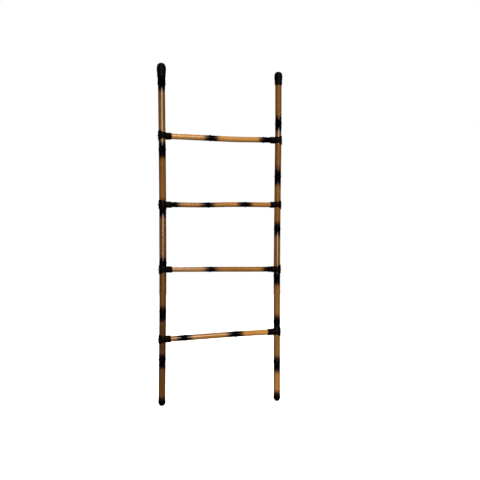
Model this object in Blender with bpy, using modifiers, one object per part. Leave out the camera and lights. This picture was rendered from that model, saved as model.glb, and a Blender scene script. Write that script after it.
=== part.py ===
"""Bamboo quilt ladder: two rails and four rungs of burnt bamboo, nailed, lashed and capped.

Metres, +Z up, X across the ladder and Y through it. The origin is on the floor, below the middle
of the whole ladder. Every pole is modelled along its own +Z, and what is wound round a pole or
fits inside it is made in that pole's frame, so that it follows the pole's slight bends.
"""
import math

import bmesh
import bpy
from mathutils import Matrix, Vector

# Whole ladder
HEIGHT = 1.830                # floor to the top of the caps
FOOT_SPACING = 0.637          # between the rails' axes at the floor
GAP = 0.0003                  # clearance between pieces that touch
PAST = 0.004                  # how far a cutter runs past what it cuts

# Bamboo
RAIL_WALL = 0.0045
RUNG_WALL = 0.0035
RIDGE = 0.0012                # how proud a node stands
RIDGE_HALF = 0.005            # half the length of a node's swelling
SEPTUM = 0.004                # thickness of the wall across a pole at each node
RAIL_DRYING_HOLE = 0.004      # radius of the hole through each septum
RUNG_DRYING_HOLE = 0.003
RAIL_SIDES = 16
RUNG_SIDES = 12

# Feet: each rail is cut just below a node, which closes it
FOOT_FLARE = 0.0013           # how much wider the foot is than the pole
FOOT_FLARE_HEIGHT = 0.020
FOOT_TOP = 0.038              # where the flare ends
FOOT_EDGE = 0.006             # height of the rounded edge
FOOT_FLAT = 0.010             # radius of the flat that stands on the floor
FOOT_FLOOR = 0.032            # height of the hollow's floor

# Lace lashings and collars
LACE = 0.0025                 # thickness of the wound lace
LACE_WIDTH = 0.0075           # one turn of a collar
LASH_PINCH = 0.0115           # half height where the crossed lace meets, front and back
LASH_MARGIN = 0.0040          # lace above and below the rung on the inner side
RIB = 0.0007                  # how proud each turn of lace stands

# Joint nails and the dowels that they bite into
NAIL_RADIUS = 0.0015
NAIL_HEAD_RADIUS = 0.0045
NAIL_HEAD_HEIGHT = 0.0038
NAIL_BITE = 0.0150            # depth in the dowel
NAIL_SIDES = 10
DOWEL_LENGTH = 0.024          # past the rail's surface

# Caps
CAP_LENGTH = 0.078
CAP_TURNS = 5
CAP_DOME = 0.022              # height of the rounded top
CAP_CROWN = 0.013             # from the rail's upper end to the cap's top
DOME_STEPS = 4
TOP_PLUG_LENGTH = 0.030       # inside the rail, below its rounded head
TOP_PLUG_CHAMFER = 0.002

# Each rail: radius at the foot and at the top, nodes as shares of its length, the cap's radius at
# its upper and lower turns, and bends as (share of length, sideways shift of the axis).
RAILS = {
    "left": {
        "side": -1,
        "radii": (0.0178, 0.0188),
        "nodes": (0.1336, 0.2736, 0.4175, 0.5760, 0.7514, 0.9430),
        "cap_radii": (0.0239, 0.0217),
        "bends": ((0.0, 0.0), (0.1336, 0.0018), (0.2736, 0.0038), (0.4175, 0.0042),
                  (0.5760, 0.0028), (0.7514, 0.0), (0.9430, -0.0045), (1.0, -0.0060)),
    },
    "right": {
        "side": 1,
        "radii": (0.0175, 0.0174),
        "nodes": (0.1181, 0.2404, 0.3796, 0.5235, 0.6844, 0.8459),
        "cap_radii": (0.0215, 0.0190),
        "bends": ((0.0, 0.0), (0.2404, 0.0004), (0.3796, 0.0008), (0.5235, 0.0028),
                  (0.6844, 0.0065), (0.8459, 0.0103), (1.0, 0.0105)),
    },
}

# Each rung, top to bottom: the height of its left and right joints as a share of the rails' height,
# its radius at both ends, its nodes as shares of its length from the left rail's axis, the lengths
# of its collars past the rails' surfaces, half the height of its lashings on the rails' outer
# sides, and its bends.
RUNGS = (
    {"heights": (0.7864, 0.7904), "radii": (0.0150, 0.0146), "nodes": (0.404, 0.870),
     "collars": (0.031, 0.029), "fans": (0.028, 0.027),
     "bends": ((0.0, 0.0), (0.20, -0.0012), (0.404, -0.0028), (0.55, -0.0039), (0.66, -0.0036),
               (0.870, -0.0002), (1.0, 0.0))},
    {"heights": (0.5847, 0.5938), "radii": (0.0131, 0.0130), "nodes": (0.107, 0.386, 0.709),
     "collars": (0.030, 0.027), "fans": (0.026, 0.0245),
     "bends": ((0.0, 0.0), (0.107, 0.0), (0.30, -0.0017), (0.386, -0.0016), (0.55, 0.0008),
               (0.709, 0.0013), (0.88, 0.0), (1.0, 0.0))},
    {"heights": (0.3954, 0.3980), "radii": (0.0131, 0.0131), "nodes": (0.405, 0.928),
     "collars": (0.032, 0.019), "fans": (0.026, 0.026),
     "bends": ((0.0, 0.0), (0.405, 0.0002), (1.0, 0.0))},
    {"heights": (0.1923, 0.2087), "radii": (0.0150, 0.0143), "nodes": (0.1875, 0.631),
     "collars": (0.026, 0.038), "fans": (0.024, 0.026),
     "bends": ((0.0, 0.0), (0.1875, -0.0002), (0.50, 0.0019), (0.631, 0.0020), (0.85, 0.0005),
               (1.0, 0.0))},
)

COLOURS = {
    "rail_bamboo": ((0.195, 0.085, 0.020), 0.35, 0.0),
    "rung_bamboo": ((0.480, 0.240, 0.070), 0.35, 0.0),
    "dowel_wood": ((0.500, 0.330, 0.160), 0.60, 0.0),
    "nail_metal": ((0.020, 0.016, 0.014), 0.40, 0.7),
    "black_lace": ((0.010, 0.008, 0.008), 0.45, 0.0),
}


class Pole:
    """A bamboo pole along its own +Z, with its nodes and the slight bends of its axis."""

    def __init__(self, length, spec, wall, hole, sides, place):
        self.length = length
        self.radii = spec["radii"]
        self.nodes = [share * length for share in spec["nodes"]]
        self.bends = [(share * length, shift) for share, shift in spec["bends"]]
        self.wall = wall
        self.hole = hole
        self.sides = sides
        self.place = place

    def radius(self, height):
        """Outer radius between nodes."""
        start, end = self.radii
        return start + (end - start) * height / self.length

    def shift(self, height):
        """How far the axis lies along the pole's own +X at a height."""
        spans = list(zip(self.bends, self.bends[1:]))
        span = next((pair for pair in spans if height <= pair[1][0]), spans[-1])
        (low, low_shift), (high, high_shift) = span
        return low_shift + (high_shift - low_shift) * (height - low) / (high - low)

    def reach(self, low, high):
        """Largest outer radius between two heights, with the nodes' swellings."""
        plain = max(self.radius(low), self.radius(high))
        swollen = any(low - RIDGE_HALF < node < high + RIDGE_HALF for node in self.nodes)
        return plain + RIDGE if swollen else plain

    def straight_bends(self, low, high):
        """Heights of the bends between two heights that no node's swelling covers."""
        return [bend for bend, _ in self.bends
                if low < bend < high
                and all(abs(bend - node) > 2 * RIDGE_HALF for node in self.nodes)]

    def outside(self, low, high):
        """Outer half section from the top down, without its two ends."""
        points = [(self.radius(bend), bend) for bend in self.straight_bends(low, high)]
        for node in self.nodes:
            for step, proud in ((-RIDGE_HALF, 0.0), (0.0, RIDGE), (RIDGE_HALF, 0.0)):
                height = node + step
                points.append((self.radius(height) + proud, height))
        return sorted(points, key=lambda point: -point[1])

    def inside(self, low, high):
        """Inner half section from the bottom up, with a pierced septum at each node."""
        def bore(height):
            return self.radius(height) - self.wall

        points = [(bore(low), low)]
        stops = [(bend, False) for bend in self.straight_bends(low, high)]
        stops += [(node, True) for node in self.nodes]
        for height, is_node in sorted(stops):
            if is_node:
                under = height - SEPTUM / 2
                over = height + SEPTUM / 2
                points += [(bore(under), under), (self.hole, under)]
                points += [(self.hole, over), (bore(over), over)]
            else:
                points.append((bore(height), height))
        points.append((bore(high), high))
        return points

    def at(self, height):
        """World position of the axis at a height."""
        return self.place @ Vector((self.shift(height), 0.0, height))


def material(name):
    """Get or make one of the ladder's materials."""
    found = bpy.data.materials.get(name)
    if found:
        return found
    colour, roughness, metallic = COLOURS[name]
    made = bpy.data.materials.new(name)
    made.use_nodes = True
    shader = made.node_tree.nodes["Principled BSDF"]
    shader.inputs["Base Color"].default_value = (*colour, 1.0)
    shader.inputs["Roughness"].default_value = roughness
    shader.inputs["Metallic"].default_value = metallic
    made.diffuse_color = (*colour, 1.0)
    return made


def turned_mesh(name, profile, closed, sides):
    """Turn a half section, given as (radius, height) points, round the Z axis."""
    last = len(profile) - 1
    edges = [(index, index + 1) for index in range(last)]
    if closed:
        edges.append((last, 0))
    section = bpy.data.meshes.new(name + "_section")
    section.from_pydata([(radius, 0.0, height) for radius, height in profile], edges, [])
    lathe = bpy.data.objects.new(name + "_lathe", section)
    bpy.context.scene.collection.objects.link(lathe)
    screw = lathe.modifiers.new("turn", "SCREW")
    screw.axis = "Z"
    screw.angle = 2 * math.pi
    screw.steps = sides
    screw.render_steps = sides
    screw.use_merge_vertices = True
    screw.merge_threshold = 0.00002
    bpy.context.view_layer.update()
    evaluated = lathe.evaluated_get(bpy.context.evaluated_depsgraph_get())
    mesh = bpy.data.meshes.new_from_object(evaluated)
    mesh.name = name
    bpy.data.objects.remove(lathe)
    bpy.data.meshes.remove(section)
    return mesh


def tube_mesh(name, radius, sides):
    """An open tube of unit half height round the Z axis, with its faces pointing out."""
    tube = bmesh.new()
    bmesh.ops.create_cone(tube, cap_ends=False, segments=sides, radius1=radius, radius2=radius,
                          depth=2.0)
    bmesh.ops.recalc_face_normals(tube, faces=tube.faces)
    mesh = bpy.data.meshes.new(name)
    tube.to_mesh(mesh)
    tube.free()
    return mesh


def follow(mesh, pole):
    """Shift a mesh that was made round a straight axis so that it follows the pole's axis."""
    for vertex in mesh.vertices:
        vertex.co.x += pole.shift(vertex.co.z)


class Ladder:
    """Collects the ladder's pieces and cutters under one empty."""

    def __init__(self):
        for old in list(bpy.data.objects):
            bpy.data.objects.remove(old, do_unlink=True)
        self.pieces = bpy.data.collections.new("bamboo_quilt_ladder")
        self.tools = bpy.data.collections.new("cutters")
        for collection in (self.pieces, self.tools):
            bpy.context.scene.collection.children.link(collection)
        self.root = bpy.data.objects.new("ladder", None)
        self.pieces.objects.link(self.root)

    def piece(self, name, mesh, slot, place):
        """Add a real piece of the ladder."""
        mesh.materials.clear()
        mesh.materials.append(material(slot))
        mesh.shade_smooth()
        mesh.set_sharp_from_angle(angle=math.radians(38))
        made = bpy.data.objects.new(name, mesh)
        made.parent = self.root
        made.matrix_local = place
        self.pieces.objects.link(made)
        return made

    def cutter(self, name, profile, pole, place, sides):
        """Add a solid cutter turned round an axis; with a pole, it follows the pole's axis."""
        mesh = turned_mesh(name, profile, False, sides)
        if pole:
            follow(mesh, pole)
        made = bpy.data.objects.new(name, mesh)
        made.parent = self.root
        made.matrix_local = place
        made.hide_render = True
        made.display_type = "WIRE"
        self.tools.objects.link(made)
        return made


def rod_profile(radius, low, high):
    """Half section of a solid rod, from its top's centre down to its bottom's centre."""
    return [(0.0, high), (radius, high), (radius, low), (0.0, low)]


def cut(target, cutter):
    """Subtract a cutter from a piece."""
    boolean = target.modifiers.new("cut_" + cutter.name, "BOOLEAN")
    boolean.operation = "DIFFERENCE"
    boolean.object = cutter


def ribbed_side(high, low, turns, radius_at):
    """Outer half section of wound lace from the top down, one rounded rib for each turn."""
    width = (high - low) / turns
    points = [(radius_at(high) - RIB, high)]
    for turn in range(turns):
        top = high - turn * width
        points.append((radius_at(top - width / 2), top - width / 2))
        points.append((radius_at(top - width) - RIB, top - width))
    return points


def make_rail(ladder, name):
    """A rail: a hollow pole with an open top and a closed, rounded foot."""
    spec = RAILS[name]
    place = Matrix.Translation((spec["side"] * FOOT_SPACING / 2, 0.0, 0.0))
    pole = Pole(HEIGHT - CAP_CROWN, spec, RAIL_WALL, RAIL_DRYING_HOLE, RAIL_SIDES, place)
    top = pole.length
    foot = pole.radius(0.0)
    profile = [(0.0, FOOT_FLOOR)]
    profile += pole.inside(FOOT_FLOOR, top)
    profile.append((pole.radius(top), top))
    profile += pole.outside(FOOT_TOP, top)
    profile += [
        (foot, FOOT_TOP),
        (foot + FOOT_FLARE, FOOT_FLARE_HEIGHT),
        (foot + FOOT_FLARE / 2, (FOOT_FLARE_HEIGHT + FOOT_EDGE) / 2),
        (foot - (foot - FOOT_FLAT) / 4, FOOT_EDGE),
        ((foot + FOOT_FLAT) / 2, FOOT_EDGE / 4),
        (FOOT_FLAT, 0.0),
        (0.0, 0.0),
    ]
    mesh = turned_mesh(name + "_rail", profile, False, RAIL_SIDES)
    follow(mesh, pole)
    return pole, ladder.piece(name + "_rail", mesh, "rail_bamboo", place)


def dome(radius, base, height):
    """Half section of a rounded top, from its centre down to just above its widest ring."""
    quarter = math.pi / 2
    angles = [quarter * step / DOME_STEPS for step in range(DOME_STEPS)]
    return [(radius * math.sin(angle), base + height * math.cos(angle)) for angle in angles]


def make_cap(ladder, name, pole):
    """A wound lace cap over a rail's upper end, and the wooden plug that closes the pole."""
    upper, lower = RAILS[name]["cap_radii"]
    high = HEIGHT - CAP_DOME
    low = HEIGHT - CAP_LENGTH
    top = pole.length
    crown = CAP_CROWN - LACE

    def radius_at(height):
        return lower + (upper - lower) * (height - low) / (high - low)

    seat = pole.reach(low, top) + GAP
    profile = dome(upper, high, CAP_DOME) + ribbed_side(high, low, CAP_TURNS, radius_at)
    profile += [(seat, low), (seat, top)]
    profile += reversed(dome(seat, top, crown))
    mesh = turned_mesh(name + "_top_cap", profile, False, RAIL_SIDES)
    follow(mesh, pole)
    ladder.piece(name + "_top_cap", mesh, "black_lace", pole.place)

    bottom = top - TOP_PLUG_LENGTH
    plug_radius = min(pole.radius(bottom), pole.radius(top)) - RAIL_WALL - GAP
    profile = dome(pole.radius(top), top + GAP, crown - 2 * GAP)
    profile += [(pole.radius(top), top + GAP), (plug_radius, top + GAP),
                (plug_radius, bottom + TOP_PLUG_CHAMFER),
                (plug_radius - TOP_PLUG_CHAMFER, bottom), (0.0, bottom)]
    mesh = turned_mesh(name + "_top_plug", profile, False, RAIL_SIDES)
    follow(mesh, pole)
    ladder.piece(name + "_top_plug", mesh, "dowel_wood", pole.place)


class Joint:
    """Where a rung's end meets a rail: shared sizes, and the cutters that fit the pieces."""

    def __init__(self, ladder, name, rail, rail_height, rung, at_right, collar, fan):
        self.name = name
        self.rail = rail
        self.height = rail_height
        self.rung = rung
        self.at_right = at_right
        self.fan = fan
        half = max(rung.radii) + RIDGE
        self.seat = rail.reach(rail_height - half, rail_height + half)
        self.lash_inner = rail.reach(rail_height - fan, rail_height + fan) + GAP
        self.lash_outer = self.lash_inner + LACE
        first = rung.length - rung.nodes[-1] if at_right else rung.nodes[0]
        self.dowel_end = min(self.seat + DOWEL_LENGTH, first - SEPTUM / 2 - GAP)
        self.collar_end = min(self.seat + collar, first - RIDGE_HALF - GAP)
        self.rung_radius = rung.reach(*self.along(0.0, self.collar_end))
        self.make_cutters(ladder)

    def along(self, low, high):
        """Turn two distances from the rail's axis into heights along the rung, lowest first."""
        if self.at_right:
            return self.rung.length - high, self.rung.length - low
        return low, high

    def make_cutters(self, ladder):
        """Cutters: the rail's surface, the lashing's surface, the rung and the nail."""
        tall = self.height + self.fan + PAST
        deep = self.height - self.fan - PAST
        rail_place = self.rail.place
        self.cope = ladder.cutter(self.name + "_cope", rod_profile(self.seat + GAP, deep, tall),
                                  self.rail, rail_place, RAIL_SIDES)
        self.saddle = ladder.cutter(self.name + "_saddle",
                                    rod_profile(self.lash_outer + GAP, deep, tall),
                                    self.rail, rail_place, RAIL_SIDES)
        low, high = self.along(0.0, self.lash_outer + PAST)
        self.rung_bore = ladder.cutter(self.name + "_rung_bore",
                                       rod_profile(self.rung_radius + GAP, low, high),
                                       self.rung, self.rung.place, RUNG_SIDES)
        self.nail_tip = self.seat + NAIL_BITE
        low, high = self.along(-self.lash_outer - PAST, self.nail_tip + GAP)
        self.nail_bore = ladder.cutter(self.name + "_nail_bore",
                                       rod_profile(NAIL_RADIUS + GAP, low, high),
                                       None, self.rung.place, NAIL_SIDES)


def make_lashing(ladder, joint):
    """Crossed lace round the rail: tall on its outer side and pinched at the front and back."""
    name = joint.name + "_lashing"
    mesh = tube_mesh(name, joint.lash_inner, RAIL_SIDES)
    outward = 1.0 if joint.at_right else -1.0
    inner_half = joint.rung_radius + LASH_MARGIN
    for vertex in mesh.vertices:
        facing = outward * vertex.co.x / joint.lash_inner
        spread = joint.fan if facing > 0 else inner_half
        half = LASH_PINCH + (spread - LASH_PINCH) * abs(facing)
        vertex.co.z = joint.height + half * vertex.co.z
    follow(mesh, joint.rail)
    made = ladder.piece(name, mesh, "black_lace", joint.rail.place)
    solid = made.modifiers.new("lace", "SOLIDIFY")
    solid.thickness = LACE
    solid.offset = 1.0
    solid.use_even_offset = True
    cut(made, joint.rung_bore)
    cut(made, joint.nail_bore)


def make_collar(ladder, joint):
    """Lace wound round the rung's end, coped to the lashing."""
    start = joint.seat / 2
    low, high = joint.along(start, joint.collar_end)
    turns = round((joint.collar_end - start) / LACE_WIDTH)
    bore = joint.rung_radius + GAP

    def radius_at(_):
        return bore + LACE + RIB / 2

    profile = [(bore, low), (bore, high)] + ribbed_side(high, low, turns, radius_at)
    name = joint.name + "_collar"
    mesh = turned_mesh(name, profile, True, RUNG_SIDES)
    follow(mesh, joint.rung)
    made = ladder.piece(name, mesh, "black_lace", joint.rung.place)
    cut(made, joint.saddle)


def make_dowel(ladder, joint):
    """Wooden dowel in the rung's hollow end, coped to the rail and bored for the nail."""
    low, high = joint.along(0.0, joint.dowel_end)
    radius = min(joint.rung.radius(low), joint.rung.radius(high)) - RUNG_WALL - GAP
    name = joint.name + "_dowel"
    mesh = turned_mesh(name, rod_profile(radius, low, high), False, RUNG_SIDES)
    follow(mesh, joint.rung)
    made = ladder.piece(name, mesh, "dowel_wood", joint.rung.place)
    cut(made, joint.cope)
    cut(made, joint.nail_bore)


def make_nail(ladder, joint):
    """Domed nail through the lashing and both walls of the rail into the dowel."""
    lean = abs(joint.rung.place.col[2].z)
    seat = -joint.lash_outer - GAP - NAIL_HEAD_RADIUS * lean
    point = joint.nail_tip - 2 * NAIL_RADIUS
    side = [(0.0, seat - NAIL_HEAD_HEIGHT)]
    for step in (1, 2):
        angle = step * math.pi / 6
        side.append((NAIL_HEAD_RADIUS * math.sin(angle), seat - NAIL_HEAD_HEIGHT * math.cos(angle)))
    side += [(NAIL_HEAD_RADIUS, seat), (NAIL_RADIUS, seat), (NAIL_RADIUS, point),
             (0.0, joint.nail_tip)]
    if joint.at_right:
        profile = [(radius, joint.rung.length - distance) for radius, distance in side]
    else:
        profile = list(reversed(side))
    name = joint.name + "_nail"
    mesh = turned_mesh(name, profile, False, NAIL_SIDES)
    ladder.piece(name, mesh, "nail_metal", joint.rung.place)


def rung_place(start, end):
    """Frame with its origin at the rung's start, +Z along the rung and +X up."""
    along = (end - start).normalized()
    back = along.cross(Vector((0.0, 0.0, 1.0))).normalized()
    up = back.cross(along)
    side = along.cross(up)
    frame = Matrix((up, side, along)).transposed().to_4x4()
    frame.translation = start
    return frame


def make_rung(ladder, number, spec, rails):
    """A rung with its collars, dowels, lashings and nails at both rails."""
    left, right = (rails[name][0] for name in ("left", "right"))
    heights = [share * HEIGHT for share in spec["heights"]]
    start = left.at(heights[0])
    end = right.at(heights[1])
    rung = Pole((end - start).length, spec, RUNG_WALL, RUNG_DRYING_HOLE, RUNG_SIDES,
                rung_place(start, end))
    name = f"rung_{number}"
    profile = rung.inside(0.0, rung.length)
    profile.append((rung.radius(rung.length), rung.length))
    profile += rung.outside(0.0, rung.length)
    profile.append((rung.radius(0.0), 0.0))
    mesh = turned_mesh(name, profile, True, RUNG_SIDES)
    follow(mesh, rung)
    made = ladder.piece(name, mesh, "rung_bamboo", rung.place)
    for at_right, side in enumerate(("left", "right")):
        rail, rail_piece = rails[side]
        joint = Joint(ladder, f"{name}_{side}", rail, heights[at_right], rung, bool(at_right),
                      spec["collars"][at_right], spec["fans"][at_right])
        cut(made, joint.cope)
        cut(rail_piece, joint.nail_bore)
        make_lashing(ladder, joint)
        make_collar(ladder, joint)
        make_dowel(ladder, joint)
        make_nail(ladder, joint)


def centre_on_origin(ladder):
    """Move the whole ladder so that its box's bottom centre is the origin."""
    bpy.context.view_layer.update()
    graph = bpy.context.evaluated_depsgraph_get()
    corners = []
    for piece in ladder.pieces.objects:
        if piece.type == "MESH":
            shape = piece.evaluated_get(graph)
            corners += [shape.matrix_world @ vertex.co for vertex in shape.data.vertices]
    middle = [(min(point[axis] for point in corners) + max(point[axis] for point in corners)) / 2
              for axis in (0, 1)]
    floor = min(point.z for point in corners)
    ladder.root.location = (-middle[0], -middle[1], -floor)
    bpy.context.view_layer.update()


def main():
    ladder = Ladder()
    rails = {name: make_rail(ladder, name) for name in RAILS}
    for name, (pole, _) in rails.items():
        make_cap(ladder, name, pole)
    for number, spec in enumerate(RUNGS, start=1):
        make_rung(ladder, number, spec, rails)
    centre_on_origin(ladder)


main()
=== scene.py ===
"""Looks of the burnt bamboo quilt ladder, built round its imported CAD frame.

Metres, +Z up, in the frame's own coordinates. Each pole is measured from its CAD node and made
again as a fine culm, and the lace, the caps and the nails are made round the measured poles. The
dowels and plugs inside the poles keep their CAD shapes and get a finer wood.
"""

import math

import bpy
import numpy as np
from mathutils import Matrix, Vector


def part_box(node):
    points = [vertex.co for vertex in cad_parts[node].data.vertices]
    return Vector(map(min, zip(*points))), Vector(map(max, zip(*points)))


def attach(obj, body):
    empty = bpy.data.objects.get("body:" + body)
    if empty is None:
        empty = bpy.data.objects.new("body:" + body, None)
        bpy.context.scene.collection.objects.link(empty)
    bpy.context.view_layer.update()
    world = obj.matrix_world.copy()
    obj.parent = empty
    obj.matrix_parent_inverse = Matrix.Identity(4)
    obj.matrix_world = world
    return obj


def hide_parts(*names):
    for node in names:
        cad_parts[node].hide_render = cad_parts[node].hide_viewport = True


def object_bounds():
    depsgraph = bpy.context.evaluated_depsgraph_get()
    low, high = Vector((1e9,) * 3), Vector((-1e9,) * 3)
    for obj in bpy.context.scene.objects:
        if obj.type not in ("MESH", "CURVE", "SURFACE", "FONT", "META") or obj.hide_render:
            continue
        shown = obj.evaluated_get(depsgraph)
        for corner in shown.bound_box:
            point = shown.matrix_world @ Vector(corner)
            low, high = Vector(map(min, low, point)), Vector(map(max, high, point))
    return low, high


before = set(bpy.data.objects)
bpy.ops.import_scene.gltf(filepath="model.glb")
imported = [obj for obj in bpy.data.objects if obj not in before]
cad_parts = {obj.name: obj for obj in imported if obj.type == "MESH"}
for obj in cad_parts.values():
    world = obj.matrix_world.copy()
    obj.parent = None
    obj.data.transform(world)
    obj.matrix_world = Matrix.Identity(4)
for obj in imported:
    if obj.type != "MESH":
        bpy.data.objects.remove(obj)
cad_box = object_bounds()

TURN = 2 * math.pi
MM = 0.001
SHARP = 50                    # degrees between faces that meet in a sharp edge
SETTLE = 3                    # rounds that it takes to find where a line meets a bent pole

# Reading the CAD poles
RING_GAP = 0.02 * MM          # vertices closer than this along a pole are one ring
RING_POINTS = 12              # a pole's coarsest ring
RING_ROUND = 0.2 * MM         # a ring is as wide as it is deep, to within this
RING_FLAT = 0.1 * MM          # and no longer than this along the pole
OUTER_SHARE = 0.85            # of the widest ring: what is narrower is an inner wall
NODE_STEP = 0.9 * MM          # a node's ring stands this proud of its neighbours
PLAIN_FROM = 30 * MM          # the rails' flared feet end below this
KINK_STEPS = (-12 * MM, -4 * MM, 4 * MM, 12 * MM)    # the axis is averaged over these

# Culms
CULM_SIDES = 72
ROW_STEP = 6 * MM
NODE_ROW_STEP = 0.6 * MM
NODE_REACH = 9 * MM           # rows are dense this far from a node
MOUTH = 30 * MM               # rungs' rows lean towards their coped ends below this
HOLLOW = 45 * MM              # depth of the hollow at an open end
WALL = 4 * MM                 # thickness that shows there
GAP = 0.3 * MM                # clearance between pieces that touch
LACQUER = 0.5 * MM            # thickness of the coat over the CAD pole
SEED_PHASE = 1.7              # turns each pole's unevenness away from the others'
OVAL = 0.14 * MM              # how far a culm is oval, and how far it has three lobes
LOBES = 0.07 * MM
OVAL_TWIST = 0.90             # length of culm over which each of them turns once
LOBES_TWIST = 0.41
FOOT_FLARE = 1.3 * MM
FOOT_FLARE_HEIGHT = 20 * MM
FOOT_FLARE_SPREAD = 10 * MM
FOOT_ROUND = 16 * MM          # height of the worn, rounded edge
FOOT_ROUND_POWER = 1.8
FOOT_DROP = 7.8 * MM          # how much narrower the sole is

# A node along the way the culm grew: a thin scar rim, a groove, then a soft ridge
RIDGE = 1.6 * MM
RIDGE_AT = 2.4 * MM
RIDGE_SPREAD = 2.6 * MM
SCAR = 1.3 * MM
SCAR_AT = -2.2 * MM
SCAR_SPREAD = 0.75 * MM
GROOVE = 0.7 * MM
GROOVE_SPREAD = 1.1 * MM
SWELL = 0.35 * MM
SWELL_SPREAD = 11 * MM
SCAR_TILT = 0.5 * MM
SCAR_PHASE = 2.3              # turns each scar's tilt away from the last one's
RIM_MARK = 1.1 * MM           # half width of the rubbed line on a scar's rim
BUD_HEIGHT = 2.4 * MM
BUD_WIDTH = 1.7 * MM
BUD_LENGTH = 2.6 * MM

# Lace
LACE_SIDES = 12
FLATNESS = 0.75               # of a strip's section: 1 is an ellipse, less is squarer
FIBRE_STEP = 0.37             # moves each strip's grain away from the last one's
HOOP_STEPS = 96
HOOP_WIDTH = 8.2 * MM         # on a rail's outer side
HOOP_PINCH = 5.0 * MM         # where it passes the rung
HOOP_THICKNESS = 1.5 * MM
HOOP_FANS = (0.88, 0.62, 0.36, 0.12)
CROSSING_FANS = (0.72, 0.42)
WAIST_AT = -0.2               # the waist's place: 1 is the rail's outer edge, -1 the rung's side
WAIST = 0.86                  # the waist's half height, as a share of the rung's radius
WAIST_STEP = 0.22             # each later fan's waist is lower by this share
HOOP_EASE = 3                 # times that a hoop's corners are smoothed
HOOP_LIFT = 0.22 * MM         # each later hoop lies this much further out
HOOP_WANDER = 0.5 * MM        # hoops lie this unevenly on the outer side
CROSSING_WANDER = 1.0 * MM    # and crossing hoops in the middle
BRIDGES = (-0.75, 0.75, -0.35, 0.35, 0.0)            # heights, as shares of the rung's reach
BRIDGE_START = 0.28 * math.pi                        # from the rail's outer side
BRIDGE_SWEEP = 0.56 * math.pi
BRIDGE_SLANT = 0.45
BRIDGE_WIDTH = 0.8 * HOOP_WIDTH
BRIDGE_THICKNESS = 1.2 * HOOP_THICKNESS
BRIDGE_LIFT = 0.8 * HOOP_THICKNESS                   # of the first one over the rail
BRIDGE_STEP = 0.1 * HOOP_THICKNESS                   # and of each later one over the last
BRIDGE_ENDS = 6                                      # higher for ends that thin out later
COLLAR_WIDTH = 7.8 * MM
COLLAR_PITCH = 6.8 * MM
COLLAR_THICKNESS = 3.8 * MM
COLLAR_ROOT = 0.38            # a collar starts at this share of the rail's radius
COLLAR_PAST = 0.15            # and passes its CAD end by this share of its width
COLLAR_PHASE = 2.1            # turns each collar's start away from the others'
CAP_PHASE = 1.3
TURN_STEPS = 40
WAVER = 0.12 * MM             # how unevenly a wound strip stands proud
WAVER_RATE = 1.37             # wavers in a turn
TUCK = 0.15                   # thickness that is left at a wound strip's ends
TUCK_RATE = 3                 # a strip is full again after one turn over this
TUCK_WIDTH = 0.55             # share of its width that the tuck leaves as it is
CAP_PITCH = 8.4 * MM
CAP_WIDTH = 9.6 * MM
CAP_THICKNESS = 1.8 * MM
CAP_SIDES = 72
CAP_SINK = 0.40 * CAP_THICKNESS                      # the sleeve lies under its lace by this
CAP_SINK_OVER = 3 * MM        # and sinks over this height
CAP_ROWS = (4, 76, 2)         # first, last and step of its rows, in mm from the top
CAP_INNER_ROWS = 6            # rows of the rounded inside over the rail's end
CAP_INNER_RISE = 0.75         # how far it rises, as a share of the way to the top
PLEATS = 11
PLEAT_DEPTH = 0.35 * MM
PLEAT_DROP = 11 * MM
PLEAT_SPREAD = 8 * MM

# The caps' outlines as (drop from the ladder's top, radius) in mm, with the dome, the sleeve, a
# notch on the left one, and the lower band
CAP_OUTLINES = {
    "left": ((0.0, 0.0), (0.6, 6.3), (2.5, 12.1), (5.5, 16.6), (9.0, 19.7), (14.0, 22.7),
             (20.0, 24.0), (27.0, 24.9), (36.0, 24.9), (46.0, 24.0), (53.0, 23.3), (57.0, 22.4),
             (61.0, 22.9), (68.0, 23.0), (74.0, 22.8), (78.0, 21.8)),
    "right": ((0.0, 0.0), (0.6, 6.5), (2.5, 12.4), (5.5, 16.8), (10.0, 19.8), (15.0, 21.8),
              (21.0, 22.6), (32.0, 22.5), (38.0, 21.8), (49.0, 21.1), (57.0, 20.7), (65.0, 20.4),
              (74.0, 20.1), (78.0, 19.5)),
}
CAP_DOME = 21 * MM            # above this drop the cap is one gathered piece

# Nails
NAIL_SIDES = 28
NAIL_STEPS = 9
NAIL_HEAD_RADIUS = 4.5 * MM
NAIL_HEAD_HEIGHT = 3.8 * MM
NAIL_RIM = 0.5 * MM
NAIL_SHANK = 1.5 * MM
NAIL_TIP = 0.05 * MM
NAIL_CROWN = 0.06             # share of the dome's quarter turn that its small flat crown takes

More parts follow.
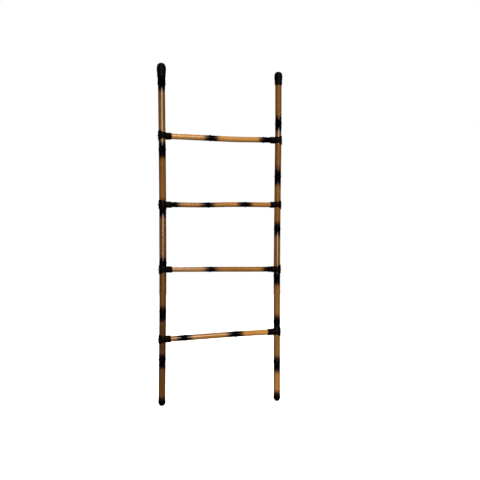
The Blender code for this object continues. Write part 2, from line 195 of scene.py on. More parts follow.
# Each pole: the way it grew along its own axis, how many mm the burn reaches back from and on past
# each node, the tone of each stretch between nodes, and the lacquer's gloss as (place, share). Some
# have buds as (node, turn from the pole's upper side), smoky smudges as (place, depth), or a crown:
# how many mm the pole's radius is thicker above its last node.
POLES = {
    "left_rail": {
        "grows": 1,
        "burns": ((41, 28), (47, 23), (44, 22), (39, 38), (40, 33), (34, 90)),
        "tones": (0.29, 0.15, 0.30, 0.36, 0.50, 0.48, 0.48),
        "gloss": ((0, 0.60), (0.74, 0.70), (0.78, 1.00), (1.04, 1.00), (1.08, 0.06), (1.34, 0.06),
                  (1.38, 0.70), (1.70, 0.70), (1.82, 0.20)),
        "crown": 1.8,
    },
    "right_rail": {
        "grows": 1,
        "burns": ((44, 18), (37, 24), (41, 25), (30, 26), (39, 33), (37, 34)),
        "tones": (0.77, 0.61, 0.60, 0.50, 0.54, 0.46, 0.50),
        "gloss": ((0, 0.60), (0.66, 0.60), (0.72, 1.00), (0.92, 1.00), (0.97, 0.08), (1.42, 0.16),
                  (1.46, 0.90), (1.55, 0.60), (1.60, 0.10), (1.82, 0.10)),
        "smudges": ((1.294, 0.30),),
    },
    "rung_1": {
        "grows": -1,
        "burns": ((19, 28), (13, 90)),
        "tones": (0.96, 0.97, 0.60),
        "gloss": ((0, 0.70), (0.20, 0.60), (0.28, 0.20), (0.65, 0.20)),
        "buds": ((0, 0.05), (1, 0.50)),
    },
    "rung_2": {
        "grows": 1,
        "burns": ((90, 11), (26, 18), (29, 24)),
        "tones": (0.60, 0.74, 0.83, 0.82),
        "gloss": ((0, 0.50), (0.20, 0.35), (0.30, 0.15), (0.64, 0.10)),
        "smudges": ((0.212, 0.45),),
    },
    "rung_3": {
        "grows": -1,
        "burns": ((20, 25), (27, 90)),
        "tones": (0.82, 0.74, 0.50),
        "gloss": ((0, 1.00), (0.12, 0.95), (0.22, 0.45), (0.30, 0.12), (0.64, 0.12)),
        "buds": ((0, 0.50), (1, 0.06), (1, -0.08), (1, 0.50)),
    },
    "rung_4": {
        "grows": 1,
        "burns": ((33, 24), (36, 24)),
        "tones": (0.80, 0.82, 0.94),
        "gloss": ((0, 0.80), (0.20, 0.90), (0.38, 0.50), (0.44, 0.10), (0.64, 0.10)),
        "buds": ((0, 0.03), (1, 0.50)),
    },
}
RUNGS = [name for name in POLES if name.startswith("rung")]
FOOT_BURN = 39 * MM
SMUDGE = 11 * MM              # half length of a smudge

# Bamboo's colours, from its tone, and the layers of its burn. Each span is how far outside a burnt
# band a layer gives way to the next, or the lacquer comes back.
BAMBOO_STOPS = (
    (0.00, (0.031, 0.0084, 0.0014)),
    (0.25, (0.071, 0.0262, 0.0040)),
    (0.50, (0.138, 0.0580, 0.0105)),
    (0.75, (0.230, 0.1040, 0.0240)),
    (1.00, (0.395, 0.1960, 0.0520)),
)
TOAST = (0.085, 0.030, 0.006, 1.0)
TOAST_SPAN = (0.0, 34 * MM)
SCORCH = (0.034, 0.0090, 0.0026, 1.0)
SCORCH_SPAN = (1 * MM, 16 * MM)
CHAR = (0.0016, 0.0009, 0.0009, 1.0)
CHAR_SPAN = (-5 * MM, 6 * MM)
LACQUER_SPAN = (-20 * MM, 8 * MM)
LACQUER_ROUGHNESS = 0.14
BAMBOO_ROUGHNESS = 0.55
RAGGED = 9 * MM               # how far a band's edge wanders
RUB = 0.55                    # how brown the rubbed lines on the scars' rims are
RUB_SPAN = (-0.12, 0.10)      # of the streaks that break those lines

# Camera and light
LENS = 49.5
CAMERA_PLACE = (-0.732, -3.520, 0.655)
CAMERA_YAW = 13.4
CAMERA_PITCH = 0.8
CAMERA_SHIFT = 0.069
KEY_YAW = 2.0
KEY_HEIGHT = 21.0
KEY_SPREAD = 40.0
KEY_STRENGTH = 4.4
KEY_COLOUR = (1.0, 0.91, 0.77)
BACK_YAW = 200.0
BACK_HEIGHT = 35.0
BACK_SPREAD = 60.0
BACK_STRENGTH = 3.4
FILL_STRENGTH = 0.07
FLOOR_SIZE = 60.0
FLOOR_DROP = 0.1 * MM         # below the soles
FLOOR_SEEN = (1.0, 1.0, 1.0, 1.0)
FLOOR_BOUNCE = (0.14, 0.14, 0.14, 1.0)
FLOOR_LIFT = 0.6              # its own light, for the camera only


def unit(vectors):
    """Vectors at length one."""
    vectors = np.asarray(vectors, float)
    return vectors / np.linalg.norm(vectors, axis=-1, keepdims=True)


def bell(distance, spread):
    """A smooth bump of height one round zero."""
    return np.exp(-(distance / spread) ** 2)


def node_points(name):
    """The distinct vertices of a CAD node."""
    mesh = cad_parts[name].data
    points = np.zeros(len(mesh.vertices) * 3, np.float32)
    mesh.vertices.foreach_get("co", points)
    return np.unique(np.round(points.reshape(-1, 3).astype(float), 6), axis=0)


class Pole:
    """A pole measured from its CAD node: u and v lie across it, and s runs along it."""

    def __init__(self, name, origin, along, up):
        self.name = name
        self.look = POLES[name]
        self.origin = np.array(origin, float)
        self.along = unit(along)
        self.up = unit(up)
        self.across = np.cross(self.along, self.up)
        rings = self.measure_rings()
        self.nodes = [ring[0] for before, ring, after in zip(rings, rings[1:], rings[2:])
                      if ring[2] - max(before[2], after[2]) > NODE_STEP]
        plain = [ring for ring in rings if ring[0] not in self.nodes and ring[0] > PLAIN_FROM]
        self.axis_levels, self.axis_shifts, _ = np.array(rings).T
        self.plain_levels, _, self.plain_radii = np.array(plain).T

    def local(self, points):
        """World points as distances u, v and s from the pole's straight base line."""
        return (points - self.origin) @ np.array([self.up, self.across, self.along]).T

    def measure_rings(self):
        """The outer rings of the CAD pole, as (s, sideways shift, radius)."""
        local = self.local(node_points(self.name))
        local = local[np.argsort(local[:, 2])]
        breaks = np.flatnonzero(np.diff(local[:, 2]) > RING_GAP) + 1
        rings = []
        for ring in np.split(local, breaks):
            width, depth, length = np.ptp(ring, axis=0)
            is_round = abs(width - depth) < RING_ROUND and length < RING_FLAT
            if is_round and len(ring) >= RING_POINTS:
                shift = (ring[:, 0].min() + ring[:, 0].max()) / 2
                rings.append((ring[:, 2].mean(), shift, width / 2))
        widest = max(radius for _, _, radius in rings)
        return [ring for ring in rings if ring[2] > OUTER_SHARE * widest]

    def shift(self, s):
        """Sideways shift of the axis, with its kinks eased."""
        eased = [np.interp(s + step, self.axis_levels, self.axis_shifts) for step in KINK_STEPS]
        return sum(eased) / len(eased)

    def radius(self, s):
        """Radius between the nodes, over the lacquer."""
        return np.interp(s, self.plain_levels, self.plain_radii) + LACQUER

    def world(self, u, v, s):
        """World points from u and v, measured from the bent axis, and s."""
        u, v, s = np.broadcast_arrays(u, v, s)
        u = u + self.shift(s)
        return (self.origin + u[..., None] * self.up + v[..., None] * self.across
                + s[..., None] * self.along)


def measure_poles():
    """Both rails, and the rungs from the left rail's axis to the right rail's."""
    poles = {}
    for name in ("left_rail", "right_rail"):
        low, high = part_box(name)
        foot = node_points(name)
        foot = foot[foot[:, 2] < low.z + RING_FLAT]
        middle = (foot.min(0) + foot.max(0)) / 2
        poles[name] = Pole(name, middle, (0, 0, 1), (1, 0, 0))
        poles[name].length = high.z - low.z
    for name in RUNGS:
        ends = [node_points(f"{name}_{side}_nail").mean(0) for side in ("left", "right")]
        along = unit(ends[1] - ends[0])
        start, end = (on_axis(poles[rail], point, along)
                      for rail, point in zip(("left_rail", "right_rail"), ends))
        up = np.array((0.0, 0.0, 1.0)) - along[2] * along
        poles[name] = Pole(name, start, along, up)
        poles[name].length = float(np.linalg.norm(end - start))
    return poles


def on_axis(rail, point, along):
    """Where a line through a point crosses a rail's axis."""
    for _ in range(SETTLE):
        target = rail.world(0.0, 0.0, point[2] - rail.origin[2])
        point = point + along * (target[0] - point[0]) / along[0]
    return point


class Skin:
    """Collects grids of points into one mesh, with a fibre coordinate at each point."""

    def __init__(self):
        self.points = []
        self.fibres = []
        self.faces = []
        self.count = 0

    def add(self, grid, fibre, rows_wrap=False, flip=False):
        """Add a grid that wraps round its columns. Its ends close, unless its rows wrap too."""
        rows, columns = grid.shape[:2]
        index = self.count + np.arange(rows * columns).reshape(rows, columns)
        ahead = np.roll(index, -1, axis=1)
        upper = np.roll(index, -1, axis=0)
        upper_ahead = np.roll(ahead, -1, axis=0)
        corners = [index, ahead, upper_ahead, upper]
        if flip:
            corners.reverse()
        quads = np.stack(corners, axis=-1)
        quads = quads if rows_wrap else quads[:-1]
        self.faces += quads.reshape(-1, 4).tolist()
        if not rows_wrap:
            first, last = index[0].tolist(), index[-1].tolist()
            self.faces += [first, last[::-1]] if flip else [first[::-1], last]
        self.points.append(grid.reshape(-1, 3))
        self.fibres.append(fibre.reshape(-1, 3))
        self.count += rows * columns

    def build(self, name, material, node, attributes=()):
        """Make the mesh object with its attributes and material, parent it to the root body, and
        hide its CAD node.
        """
        mesh = bpy.data.meshes.new(name)
        mesh.from_pydata(np.concatenate(self.points).tolist(), [], self.faces)
        values = [("fibre", "FLOAT_VECTOR", "vector", np.concatenate(self.fibres))]
        values += [(key, "FLOAT", "value", value) for key, value in dict(attributes).items()]
        for key, kind, field, value in values:
            layer = mesh.attributes.new(key, kind, "POINT")
            layer.data.foreach_set(field, np.asarray(value, np.float32).ravel())
        mesh.materials.append(material)
        mesh.shade_smooth()
        mesh.set_sharp_from_angle(angle=math.radians(SHARP))
        made = bpy.data.objects.new(name, mesh)
        bpy.context.scene.collection.objects.link(made)
        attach(made, "root")
        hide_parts(node)
        return made


# ---------------------------------------------------------------- materials

def add_node(tree, kind, inputs=None, **settings):
    """Add a shader node: sockets given as inputs are linked, and other values are set."""
    made = tree.nodes.new(kind)
    for key, value in settings.items():
        setattr(made, key, value)
    for key, value in (inputs or {}).items():
        if isinstance(value, bpy.types.NodeSocket):
            tree.links.new(value, made.inputs[key])
        else:
            made.inputs[key].default_value = value
    return made


def attribute(tree, name, output="Fac"):
    """A mesh attribute's socket."""
    return add_node(tree, "ShaderNodeAttribute", attribute_name=name).outputs[output]


def calc(tree, operation, *values):
    """One arithmetic step on two values, or on three for MULTIPLY_ADD."""
    made = add_node(tree, "ShaderNodeMath", dict(enumerate(values)), operation=operation)
    return made.outputs[0]


def stretched_noise(tree, vector, scale, detail=3.0, roughness=0.55):
    """Noise from -0.5 to 0.5 on a vector whose three parts are scaled on their own."""
    scaled = add_node(tree, "ShaderNodeMapping", {"Vector": vector, "Scale": scale})
    noise = add_node(tree, "ShaderNodeTexNoise",
                     {"Vector": scaled.outputs[0], "Scale": 1.0, "Detail": detail,
                      "Roughness": roughness})
    return calc(tree, "SUBTRACT", noise.outputs["Fac"], 0.5)


def ramp(tree, factor, stops):
    """A colour ramp with (position, linear colour) stops."""
    made = add_node(tree, "ShaderNodeValToRGB", {"Fac": factor})
    elements = made.color_ramp.elements
    while len(elements) < len(stops):
        elements.new(1.0)
    for element, (position, colour) in zip(elements, stops):
        element.position = position
        element.color = (*colour, 1.0)
    return made.outputs["Color"]


def span(tree, value, low, high):
    """A smooth step from 0 at low to 1 at high."""
    made = add_node(tree, "ShaderNodeMapRange",
                    {"Value": value, "From Min": low, "From Max": high},
                    interpolation_type="SMOOTHSTEP")
    return made.outputs["Result"]


def blend_colours(tree, factor, first, second):
    """Mix of two colours."""
    made = add_node(tree, "ShaderNodeMix", {0: factor, 6: first, 7: second}, data_type="RGBA")
    return made.outputs[2]    # sockets 6, 7 and 2 are the node's colours


def new_material(name):
    """An empty node material with its shader, and the shader's tree."""
    made = bpy.data.materials.new(name)
    made.use_nodes = True
    return made, made.node_tree, made.node_tree.nodes["Principled BSDF"]


def add_bump(tree, shader, height, distance, strength):
    """Small relief on the shader's normal."""
    bump = add_node(tree, "ShaderNodeBump",
                    {"Height": height, "Distance": distance, "Strength": strength})
    tree.links.new(bump.outputs[0], shader.inputs["Normal"])


def bamboo_material():
    """Lacquered bamboo with long fibres, smoky patches and burnt bands with ragged edges."""
    made, tree, shader = new_material("lacquered_burnt_bamboo")
    fibre = attribute(tree, "fibre", "Vector")
    streaks = stretched_noise(tree, fibre, (230, 230, 4.0), 5.0, 0.62)
    fine = stretched_noise(tree, fibre, (900, 900, 16), 2.0)
    patches = stretched_noise(tree, fibre, (30, 30, 7.5), 3.0)
    fingers = stretched_noise(tree, fibre, (240, 240, 24), 3.0)
    smoke = stretched_noise(tree, fibre, (55, 55, 40), 2.0)

    tone = calc(tree, "MULTIPLY_ADD", streaks, 0.42, attribute(tree, "tone"))
    tone = calc(tree, "MULTIPLY_ADD", patches, 0.30, tone)
    tone = calc(tree, "MULTIPLY_ADD", fine, 0.14, tone)
    skin = ramp(tree, tone, BAMBOO_STOPS)

    edge = calc(tree, "MULTIPLY_ADD", fingers, RAGGED, attribute(tree, "burn"))
    edge = calc(tree, "MULTIPLY_ADD", smoke, RAGGED, edge)
    toasted = blend_colours(tree, span(tree, edge, *TOAST_SPAN), TOAST, skin)
    scorched = blend_colours(tree, span(tree, edge, *SCORCH_SPAN), SCORCH, toasted)
    burnt = blend_colours(tree, span(tree, edge, *CHAR_SPAN), CHAR, scorched)
    rubbed = calc(tree, "MULTIPLY", attribute(tree, "scar"), span(tree, streaks, *RUB_SPAN))
    rubbed = calc(tree, "MULTIPLY", rubbed, RUB)
    colour = blend_colours(tree, rubbed, burnt, SCORCH)
    tree.links.new(colour, shader.inputs["Base Color"])

    rough = calc(tree, "MULTIPLY_ADD", patches, 0.20, BAMBOO_ROUGHNESS)
    rough = calc(tree, "MULTIPLY_ADD", fine, 0.10, rough)
    tree.links.new(rough, shader.inputs["Roughness"])
    lacquer = calc(tree, "MULTIPLY", attribute(tree, "gloss"), span(tree, edge, *LACQUER_SPAN))
    tree.links.new(lacquer, shader.inputs["Coat Weight"])
    shader.inputs["Coat Roughness"].default_value = LACQUER_ROUGHNESS
    shader.inputs["Specular IOR Level"].default_value = 0.0
    relief = calc(tree, "MULTIPLY_ADD", fine, 0.5, streaks)
    add_bump(tree, shader, relief, 0.03 * MM, 0.4)
    return made


def lace_material():
    """Black waxed lace with long grain, worn lighter here and there."""
    made, tree, shader = new_material("black_waxed_lace")
    fibre = attribute(tree, "fibre", "Vector")
    grain = stretched_noise(tree, fibre, (900, 900, 90), 4.0)
    creases = stretched_noise(tree, fibre, (120, 120, 420), 3.0)
    wear = stretched_noise(tree, fibre, (130, 130, 45), 2.0)
    tone = calc(tree, "MULTIPLY_ADD", grain, 0.5, wear)
    colour = ramp(tree, calc(tree, "ADD", tone, 0.5), (
        (0.25, (0.0012, 0.0008, 0.0009)),
        (0.60, (0.0030, 0.0019, 0.0018)),
        (0.85, (0.0130, 0.0080, 0.0062)),
    ))
    tree.links.new(colour, shader.inputs["Base Color"])
    rough = calc(tree, "MULTIPLY_ADD", grain, 0.30, 0.30)
    rough = calc(tree, "MULTIPLY_ADD", creases, 0.20, rough)
    tree.links.new(rough, shader.inputs["Roughness"])
    shader.inputs["Specular IOR Level"].default_value = 0.02
    relief = calc(tree, "MULTIPLY_ADD", creases, 0.8, grain)
    add_bump(tree, shader, relief, 0.35 * MM, 0.6)
    return made


def wood_material():
    """Pale turned wood for the dowels and plugs, with fine grain."""
    made, tree, shader = new_material("turned_wood")
    place = add_node(tree, "ShaderNodeTexCoord").outputs["Object"]
    grain = stretched_noise(tree, place, (160, 900, 900), 4.0)
    clouds = stretched_noise(tree, place, (60, 60, 60), 2.0)
    tone = calc(tree, "ADD", calc(tree, "ADD", grain, clouds), 0.5)
    colour = ramp(tree, tone, ((0.2, (0.22, 0.12, 0.05)), (0.8, (0.50, 0.33, 0.16))))
    tree.links.new(colour, shader.inputs["Base Color"])
    tree.links.new(calc(tree, "MULTIPLY_ADD", grain, 0.3, 0.62), shader.inputs["Roughness"])
    add_bump(tree, shader, grain, 0.2 * MM, 0.5)
    return made


def nail_material():
    """Blackened iron, a little mottled."""
    made, tree, shader = new_material("blackened_iron")
    fibre = attribute(tree, "fibre", "Vector")
    mottle = stretched_noise(tree, fibre, (700, 700, 700), 3.0)
    tone = calc(tree, "ADD", mottle, 0.5)
    colour = ramp(tree, tone, ((0.3, (0.006, 0.005, 0.005)), (0.75, (0.030, 0.022, 0.018))))
    tree.links.new(colour, shader.inputs["Base Color"])
    tree.links.new(calc(tree, "MULTIPLY_ADD", mottle, 0.35, 0.42), shader.inputs["Roughness"])
    shader.inputs["Metallic"].default_value = 0.7
    add_bump(tree, shader, mottle, 0.15 * MM, 0.5)
    return made


# ---------------------------------------------------------------- culms

def row_levels(low, high, nodes):
    """Levels of a culm's rows: even along it, and dense round each node."""
    steps = np.arange(-NODE_REACH, NODE_REACH, NODE_ROW_STEP)
    dense = [node + steps for node in nodes]
    levels = np.unique(np.concatenate([np.arange(low, high, ROW_STEP), *dense, [high]]))
    levels = levels[(levels >= low) & (levels <= high)]
    apart = np.concatenate([[True], np.diff(levels) > NODE_ROW_STEP / 2])
    apart[-1] = True
    return levels[apart]


def culm_radius(pole, s, angle, seed):
    """Outer radius with the nodes' rims, grooves, ridges and buds, and never quite round."""
    phase = seed * SEED_PHASE
    radius = pole.radius(s) + pole.look.get("crown", 0.0) * MM * (s > pole.nodes[-1])
    radius = radius + OVAL * np.cos(2 * angle + phase + TURN * s / OVAL_TWIST)
    radius = radius + LOBES * np.cos(3 * angle - phase - TURN * s / LOBES_TWIST)
    for number, node in enumerate(pole.nodes):
        tilt = SCAR_TILT * np.sin(angle + phase + SCAR_PHASE * number)
        along = pole.look["grows"] * (s - node) + tilt
        radius = radius + RIDGE * bell(along - RIDGE_AT, RIDGE_SPREAD)
        radius = radius + SCAR * bell(along - SCAR_AT, SCAR_SPREAD)
        radius = radius - GROOVE * bell(along, GROOVE_SPREAD)
        radius = radius + SWELL * bell(along, SWELL_SPREAD)
        for at, share in pole.look.get("buds", ()):
            if at == number:
                turned = (angle - share * TURN + math.pi) % TURN - math.pi
                height = bell(turned * pole.radius(node), BUD_WIDTH)
                radius = radius + BUD_HEIGHT * height * bell(along, BUD_LENGTH)
    return radius


def foot_shape(s):
    """Flare and worn edge of a rail's foot, added to its radius."""
    worn = np.clip(1 - s / FOOT_ROUND, 0, 1) ** FOOT_ROUND_POWER
    return FOOT_FLARE * bell(s - FOOT_FLARE_HEIGHT, FOOT_FLARE_SPREAD) - FOOT_DROP * worn


def meet_rail(rung, rail, side, u, v):
    """How far along a rung its surface meets a rail."""
    s = 0.0 if side < 0 else rung.length
    reach = np.sqrt((rail.radius(rung.origin[2]) + GAP) ** 2 - v ** 2)
    for _ in range(SETTLE):
        point = rung.world(u, v, s)
        axis = rail.world(0.0, 0.0, point[..., 2])
        s = s + (axis[..., 0] - side * reach - point[..., 0]) / rung.along[0]
    return s


def burn_distance(pole, s):
    """Distance outside the nearest burnt band, below zero inside it."""
    bands = [(node - back * MM, node + on * MM)
             for node, (back, on) in zip(pole.nodes, pole.look["burns"])]
    if pole.name not in RUNGS:
        bands.append((-pole.length, FOOT_BURN))
    return np.min([np.maximum(low - s, s - high) for low, high in bands], axis=0)


def culm_looks(pole, s):
    """Tone, gloss, burn and rim of the culm's skin at each point."""
    stretch = np.searchsorted(pole.nodes, s)
    rims = [bell(pole.look["grows"] * (s - node) - SCAR_AT, RIM_MARK) for node in pole.nodes]
    smudges = [depth * bell(s - at, SMUDGE) for at, depth in pole.look.get("smudges", ())]
    return {
        "tone": np.array(pole.look["tones"])[stretch] - sum(smudges),
        "gloss": np.interp(s, *np.array(pole.look["gloss"]).T),
        "burn": burn_distance(pole, s),
        "scar": np.sum(rims, axis=0),
    }


def make_culm(poles, name, material, seed):
    """A rail or a rung as one fine closed culm, hollow at its open ends."""
    pole = poles[name]
    is_rung = name in RUNGS
    levels = row_levels(0.0, pole.length, pole.nodes)
    angle = np.arange(CULM_SIDES) * TURN / CULM_SIDES
    s, turn = np.meshgrid(levels, angle, indexing="ij")
    radius = culm_radius(pole, s, turn, seed)
    if is_rung:
        ends = [meet_rail(pole, poles[rail], side, radius[row] * np.cos(angle),
                          radius[row] * np.sin(angle))
                for rail, side, row in (("left_rail", -1, 0), ("right_rail", 1, -1))]
        low = np.clip((MOUTH - s) / MOUTH, 0, 1)
        high = np.clip((s - pole.length + MOUTH) / MOUTH, 0, 1)
        s = s + low * ends[0] + high * (ends[1] - pole.length)
    else:
        radius = radius + foot_shape(s)
    bore = pole.radius(pole.length / 2) - WALL
    top = np.full((2, CULM_SIDES), bore)
    top_s = np.stack([s[-1], s[-1] - HOLLOW])
    radius = np.concatenate([radius, top])
    s = np.concatenate([s, top_s])
    if is_rung:
        radius = np.concatenate([top, radius])
        s = np.concatenate([np.stack([s[0] + HOLLOW, s[0]]), s])
    turn = np.broadcast_to(angle, s.shape)
    u = radius * np.cos(turn)
    v = radius * np.sin(turn)
    fibre = np.stack([u, v, s + seed], axis=-1)
    skin = Skin()
    skin.add(pole.world(u, v, s), fibre)
    looks = {key: value.ravel() for key, value in culm_looks(pole, s).items()}
    return skin.build(name + "_culm", material, name, attributes=looks)


# ---------------------------------------------------------------- lace

def add_strip(skin, points, outward, width, thickness, closed=False):
    """One flattened strip of lace along points, with its flat side facing outward."""
    if closed:
        forward = np.roll(points, -1, axis=0) - np.roll(points, 1, axis=0)
    else:
        forward = np.gradient(points, axis=0)
    outward = unit(outward)
    side = unit(np.cross(unit(forward), outward))
    angle = np.arange(LACE_SIDES) * TURN / LACE_SIDES
    flat = np.sign(np.cos(angle)) * np.abs(np.cos(angle)) ** FLATNESS
    flat = flat * np.broadcast_to(width, len(points))[:, None] / 2
    proud = np.sin(angle) * np.broadcast_to(thickness, len(points))[:, None] / 2
    grid = (points[:, None] + side[:, None] * flat[..., None]
            + outward[:, None] * proud[..., None])
    steps = np.linalg.norm(np.diff(points, axis=0), axis=1)
    run = np.concatenate([[0.0], np.cumsum(steps)])
    fibre = np.stack([flat, proud, np.broadcast_to(run[:, None], flat.shape)], axis=-1)
    fibre = fibre + FIBRE_STEP * (len(skin.points) + 1)
    skin.add(grid, fibre, rows_wrap=closed)


def wind(skin, pole, start, end, radius_at, pitch, width, thickness, phase):
    """Wind one strip round a pole from start to end, with both of its ends tucked thin."""
    turns = max(1.0, abs(end - start) / pitch)
    steps = int(turns * TURN_STEPS)
    share = np.linspace(0.0, 1.0, steps)
    angle = phase + share * turns * TURN
    s = start + (end - start) * share
    radius = radius_at(s) + WAVER * np.sin(WAVER_RATE * angle + 2 * phase)
    u = radius * np.cos(angle)
    v = radius * np.sin(angle)
    points = pole.world(u, v, s)
    outward = points - pole.world(0.0, 0.0, s)
    tuck = np.clip(np.minimum(share, 1 - share) * turns * TUCK_RATE, TUCK, 1.0)
    width = width * (TUCK_WIDTH + (1 - TUCK_WIDTH) * tuck)
    add_strip(skin, points, outward, width, thickness * tuck)


class Joint:
    """Where a rung meets a rail, measured from the CAD lashing and collar."""

    def __init__(self, poles, rung, side):
        self.name = f"{rung}_{side}"
        self.side = -1 if side == "left" else 1
        self.rung = poles[rung]
        self.rail = poles[side + "_rail"]
        heights = node_points(self.name + "_lashing")[:, 2]
        self.height = (heights.min() + heights.max()) / 2
        self.fan = (heights.max() - heights.min()) / 2
        reach = self.rung.local(node_points(self.name + "_collar"))[:, 2]
        self.collar_end = reach.max() if self.side < 0 else reach.min()
        self.start = 0.0 if self.side < 0 else self.rung.length


def add_hoop(skin, joint, heights, lift):
    """A closed strip round the rail, with its heights on the outer side, waist and rung's side."""
    rail = joint.rail
    angle = np.arange(HOOP_STEPS) * TURN / HOOP_STEPS
    outer = (1 + np.cos(angle)) / 2
    height = np.interp(np.cos(angle), (-1.0, WAIST_AT, 1.0), heights[::-1])
    for _ in range(HOOP_EASE):
        height = (np.roll(height, 1) + 2 * height + np.roll(height, -1)) / 4
    s = joint.height + height
    radius = rail.radius(s) + GAP / 2 + HOOP_THICKNESS / 2 + lift
    points = rail.world(joint.side * radius * np.cos(angle), radius * np.sin(angle), s)
    outward = points - rail.world(0.0, 0.0, s)
    width = HOOP_PINCH + (HOOP_WIDTH - HOOP_PINCH) * outer
    add_strip(skin, points, outward, width, HOOP_THICKNESS, closed=True)


def make_lashing(joint, material, seed):
    """Lace fanned on the rail's outer side, drawn in to a waist, with more lace crossed over it."""
    skin = Skin()
    random = np.random.default_rng(seed)
    rung_radius = joint.rung.radius(joint.collar_end)
    by_rung = rung_radius + HOOP_PINCH / 4
    lift = 0.0
    for number, fan in enumerate(HOOP_FANS):
        waist = rung_radius * WAIST * (1 - WAIST_STEP * number)
        for way in (1, -1):
            outer = fan * joint.fan + random.uniform(-HOOP_WANDER, HOOP_WANDER)
            add_hoop(skin, joint, np.array((outer, waist, by_rung)) * way, lift)
            lift += HOOP_LIFT
    for fan in CROSSING_FANS:
        for way in (1, -1):
            outer = fan * joint.fan + random.uniform(-HOOP_WANDER, HOOP_WANDER)
            middle = random.uniform(-CROSSING_WANDER, CROSSING_WANDER)
            add_hoop(skin, joint, (way * outer, middle, -way * by_rung), lift)
            lift += HOOP_LIFT
    add_bridges(skin, joint, by_rung)
    name = joint.name + "_lashing"
    return skin.build(name + "_lace", material, name)


def add_bridges(skin, joint, reach):
    """Slanting strips at the front and the back, that fill the waist up to the rung's collar."""
    rail = joint.rail
    along = np.linspace(0.0, 1.0, HOOP_STEPS // 3)
    for face in (1, -1):
        for number, share in enumerate(BRIDGES):
            angle = face * (BRIDGE_START + BRIDGE_SWEEP * along)
            slant = BRIDGE_SLANT if number % 2 else -BRIDGE_SLANT
            s = joint.height + reach * (share + slant * (1 - abs(share)) * (2 * along - 1))
            radius = rail.radius(s) + BRIDGE_LIFT + BRIDGE_STEP * number
            points = rail.world(joint.side * radius * np.cos(angle), radius * np.sin(angle), s)
            outward = points - rail.world(0.0, 0.0, s)
            thickness = BRIDGE_THICKNESS - HOOP_THICKNESS * (2 * along - 1) ** BRIDGE_ENDS
            add_strip(skin, points, outward, BRIDGE_WIDTH, thickness)


def make_collar(joint, material, seed):
    """Lace wound round the rung's end, from the lashing outwards."""
    skin = Skin()
    rung = joint.rung
    inner = joint.start - joint.side * joint.rail.radius(joint.height) * COLLAR_ROOT
    outer = joint.collar_end + joint.side * COLLAR_WIDTH * COLLAR_PAST

    def radius_at(s):
        return rung.radius(s) + GAP / 2 + COLLAR_THICKNESS / 2

    wind(skin, rung, inner, outer, radius_at, COLLAR_PITCH, COLLAR_WIDTH, COLLAR_THICKNESS,
         seed * COLLAR_PHASE)
    name = joint.name + "_collar"
    return skin.build(name + "_lace", material, name)


def cap_section(rail, drops, radii, top):
    """Half section of a cap's body, from its crown down the outside and up its rounded inside."""
    inside = rail.radius(rail.length) + GAP
    under = top - rail.length
    first, last, step = CAP_ROWS
    outer_drops = np.unique(np.concatenate([drops, np.arange(first, last, step) * MM]))
    sunk = CAP_SINK * np.clip((outer_drops - CAP_DOME) / CAP_SINK_OVER, 0, 1)
    outer_radii = np.interp(outer_drops, drops, radii) - sunk
    inner_drops = under * (1 - CAP_INNER_RISE * np.linspace(0.1, 1, CAP_INNER_ROWS))
    inner_radii = inside * np.sin(np.linspace(0.5, 0.03, CAP_INNER_ROWS) * math.pi)
    return (np.concatenate([outer_drops[1:], [outer_drops[-1], under], inner_drops]),
            np.concatenate([outer_radii[1:], [inside, inside], inner_radii]))


def make_cap(rail, side, material, seed):
    """A wound cap: a gathered dome on a sleeve, with flat lace wound over the sleeve."""
    drops, radii = np.array(CAP_OUTLINES[side]).T * MM
    top = cad_box[1].z - rail.origin[2]
    angle = np.arange(CAP_SIDES) * TURN / CAP_SIDES
    section_drops, section_radii = cap_section(rail, drops, radii, top)
    drop, turn = np.meshgrid(section_drops, angle, indexing="ij")
    pleats = PLEAT_DEPTH * np.cos(PLEATS * turn + seed) * bell(drop - PLEAT_DROP, PLEAT_SPREAD)
    radius = section_radii[:, None] + pleats
    u = radius * np.cos(turn)
    v = radius * np.sin(turn)
    s = top - drop
    skin = Skin()
    skin.add(rail.world(u, v, s), np.stack([u, v, s], axis=-1), flip=True)

    def radius_at(s):
        return np.interp(top - s, drops, radii)

    wind(skin, rail, top - drops[-1] + CAP_WIDTH / 2, top - CAP_DOME, radius_at, CAP_PITCH,
         CAP_WIDTH, CAP_THICKNESS, seed * CAP_PHASE)
    name = side + "_top_cap"
    return skin.build(name + "_lace", material, name)


# ---------------------------------------------------------------- nails

def make_nail(joint, material):
    """A domed nail on the rail's outer side, with its shank and point."""
    rung = joint.rung
    reach = rung.local(node_points(joint.name + "_nail"))[:, 2]
    crown, point = sorted((reach.min(), reach.max()), reverse=joint.side > 0)
    sweep = np.linspace(NAIL_CROWN, 1.0, NAIL_STEPS) * math.pi / 2
    depths = list((NAIL_HEAD_HEIGHT - NAIL_RIM) * (1 - np.cos(sweep)))
    radii = list(NAIL_HEAD_RADIUS * np.sin(sweep))
    length = abs(point - crown)
    depths += [NAIL_HEAD_HEIGHT, NAIL_HEAD_HEIGHT, length - 2 * NAIL_SHANK, length]
    radii += [NAIL_HEAD_RADIUS, NAIL_SHANK, NAIL_SHANK, NAIL_TIP]
    angle = np.arange(NAIL_SIDES) * TURN / NAIL_SIDES
    depth, turn = np.meshgrid(depths, angle, indexing="ij")
    radius = np.array(radii)[:, None]
    u = radius * np.cos(turn)
    v = radius * np.sin(turn)
    s = crown - joint.side * depth
    grid = (rung.origin + u[..., None] * rung.up + v[..., None] * rung.across
            + s[..., None] * rung.along)
    skin = Skin()
    skin.add(grid, grid.copy(), flip=joint.side > 0)
    name = joint.name + "_nail"
    return skin.build(name + "_domed", material, name)


# ---------------------------------------------------------------- room

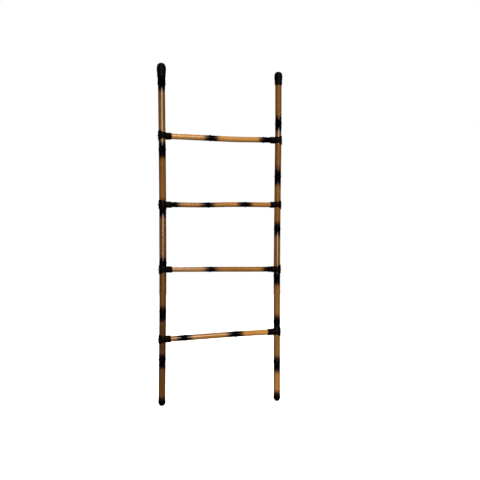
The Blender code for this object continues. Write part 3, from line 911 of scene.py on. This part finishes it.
def add_sun(name, yaw, height, spread, strength, colour=(1.0, 1.0, 1.0)):
    """A soft far light that travels along yaw, from height degrees above the floor."""
    light = bpy.data.lights.new(name, "SUN")
    light.energy = strength
    light.color = colour
    light.angle = math.radians(spread)
    made = bpy.data.objects.new(name, light)
    bpy.context.scene.collection.objects.link(made)
    made.rotation_euler = (math.radians(90 - height), 0.0, math.radians(-yaw))


def add_world():
    """White behind the ladder, and a dimmer even fill on it."""
    world = bpy.data.worlds.new("studio")
    bpy.context.scene.world = world
    world.use_nodes = True
    tree = world.node_tree
    shade = tree.nodes["Background"]
    seen = add_node(tree, "ShaderNodeLightPath").outputs["Is Camera Ray"]
    strength = calc(tree, "MULTIPLY_ADD", seen, 1.0 - FILL_STRENGTH, FILL_STRENGTH)
    shade.inputs["Color"].default_value = (1.0, 1.0, 1.0, 1.0)
    tree.links.new(strength, shade.inputs["Strength"])


def add_floor():
    """A floor to the horizon, white to the camera, that throws little light on the ladder."""
    half = FLOOR_SIZE / 2
    height = cad_box[0].z - FLOOR_DROP
    corners = [(-half, -half, height), (half, -half, height), (half, half, height),
               (-half, half, height)]
    mesh = bpy.data.meshes.new("floor")
    mesh.from_pydata(corners, [], [(0, 1, 2, 3)])
    made, tree, shader = new_material("pale_floor")
    seen = add_node(tree, "ShaderNodeLightPath").outputs["Is Camera Ray"]
    tree.links.new(blend_colours(tree, seen, FLOOR_BOUNCE, FLOOR_SEEN), shader.inputs["Base Color"])
    shader.inputs["Roughness"].default_value = 0.9
    shader.inputs["Emission Color"].default_value = FLOOR_SEEN
    tree.links.new(calc(tree, "MULTIPLY", seen, FLOOR_LIFT), shader.inputs["Emission Strength"])
    mesh.materials.append(made)
    floor = bpy.data.objects.new("floor", mesh)
    bpy.context.scene.collection.objects.link(floor)


def add_camera():
    """The camera, a little left of the ladder and level."""
    data = bpy.data.cameras.new("camera")
    data.lens = LENS
    data.shift_y = CAMERA_SHIFT
    camera = bpy.data.objects.new("camera", data)
    bpy.context.scene.collection.objects.link(camera)
    camera.location = CAMERA_PLACE
    camera.rotation_euler = (math.radians(90 + CAMERA_PITCH), 0.0, math.radians(-CAMERA_YAW))
    bpy.context.scene.camera = camera


def main():
    """The room, the materials, and every piece of the ladder."""
    add_camera()
    add_world()
    add_floor()
    add_sun("key", KEY_YAW, KEY_HEIGHT, KEY_SPREAD, KEY_STRENGTH, KEY_COLOUR)
    add_sun("back", BACK_YAW, BACK_HEIGHT, BACK_SPREAD, BACK_STRENGTH)
    bpy.context.scene.view_settings.view_transform = "Standard"

    bamboo = bamboo_material()
    lace = lace_material()
    iron = nail_material()
    wood = wood_material()
    poles = measure_poles()
    for seed, name in enumerate(poles, start=1):
        make_culm(poles, name, bamboo, seed)
    for seed, side in enumerate(("left", "right"), start=1):
        make_cap(poles[side + "_rail"], side, lace, seed)
    joints = [Joint(poles, rung, side) for rung in RUNGS for side in ("left", "right")]
    for seed, joint in enumerate(joints, start=1):
        make_lashing(joint, lace, seed)
        make_collar(joint, lace, seed)
        make_nail(joint, iron)
    for name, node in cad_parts.items():
        if name.endswith(("_dowel", "_plug")):
            node.data.materials.clear()
            node.data.materials.append(wood)


main()
